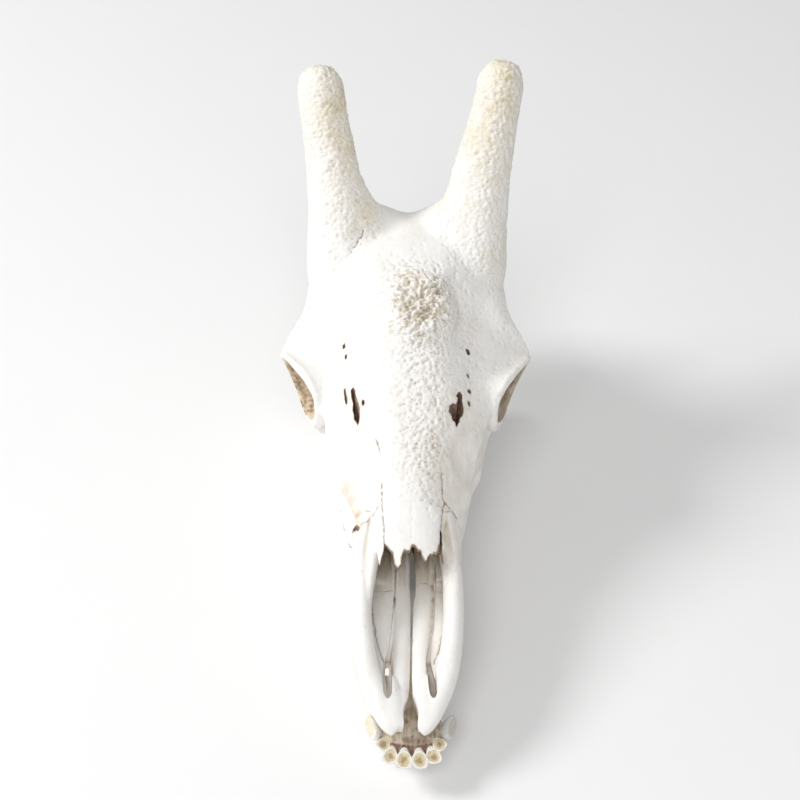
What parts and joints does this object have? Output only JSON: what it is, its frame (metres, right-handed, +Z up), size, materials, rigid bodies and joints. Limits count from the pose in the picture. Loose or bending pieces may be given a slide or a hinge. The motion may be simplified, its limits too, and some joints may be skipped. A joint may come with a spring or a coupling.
{
  "type": "giraffe skull",
  "caption": "Giraffe skull with closed lower jaw, tall ossicones, forehead boss, open nasal aperture and forward-leaning incisors, resting on the jaw.",
  "frame": {"origin": "centre of the bounding box in X and Y, on the plane that the lower jaw rests on", "axes": "-Y towards the nose, +Y towards the back of the head, +X to the animal's left, +Z up"},
  "size_m": [0.2726, 0.6776, 0.4496],
  "materials": {
    "bone": "dry bleached bone",
    "horn_bone": "rough dry horn bone"
  },
  "bodies": {
    "root": {"cranium": "bone", "snout": "bone", "premaxilla_left": "bone", "premaxilla_right": "bone", "mandible_left": "bone", "mandible_right": "bone", "ossicone_left": "horn_bone", "ossicone_right": "horn_bone", "median_ossicone": "horn_bone"}
  },
  "joints": []
}
